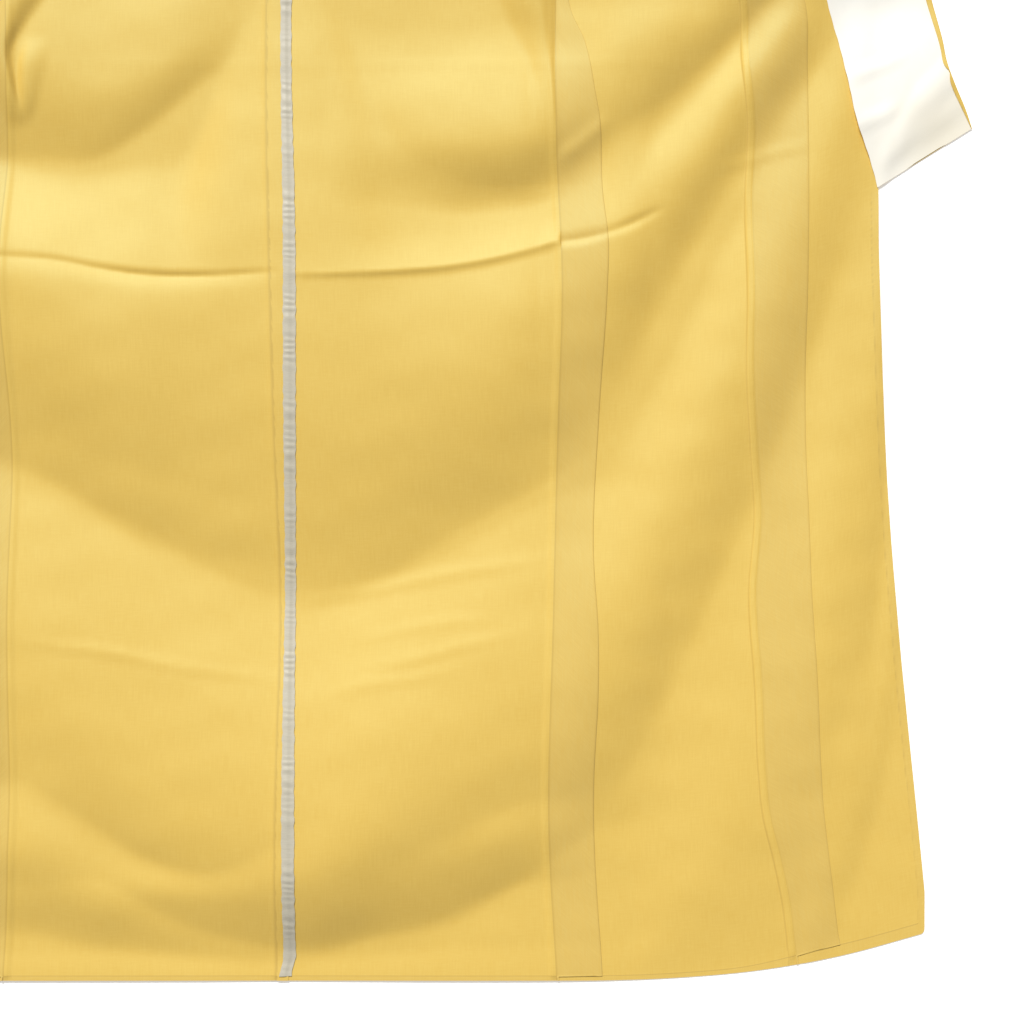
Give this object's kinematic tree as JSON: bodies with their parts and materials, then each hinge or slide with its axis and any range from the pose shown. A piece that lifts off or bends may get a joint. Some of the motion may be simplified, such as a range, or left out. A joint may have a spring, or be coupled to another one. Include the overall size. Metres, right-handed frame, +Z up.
{
  "type": "unlined kimono",
  "caption": "unlined mustard yellow kimono opened out flat with its inside up, showing taped centre seam, seam allowances and cream collar lining",
  "frame": {"origin": "On the surface that the garment lies on, under the middle of its bounding box.", "axes": "+Z up out of the surface, +Y from the hem towards the collar along the centre back seam, +X across the garment to the right as seen from above."},
  "size_m": [1.474, 1.567, 0.0343],
  "materials": {
    "mustard_cloth": "plain fine weave, soft matte",
    "cream_lining": "smooth soft sheen",
    "grey_tape": "smooth soft sheen"
  },
  "bodies": {
    "root": {"body_left": "mustard_cloth", "body_right": "mustard_cloth", "overlap_left": "mustard_cloth", "overlap_right": "mustard_cloth", "sleeve_left": "mustard_cloth", "sleeve_right": "mustard_cloth", "collar": "mustard_cloth", "collar_lining": "cream_lining", "back_seam_tape": "grey_tape"}
  },
  "joints": []
}
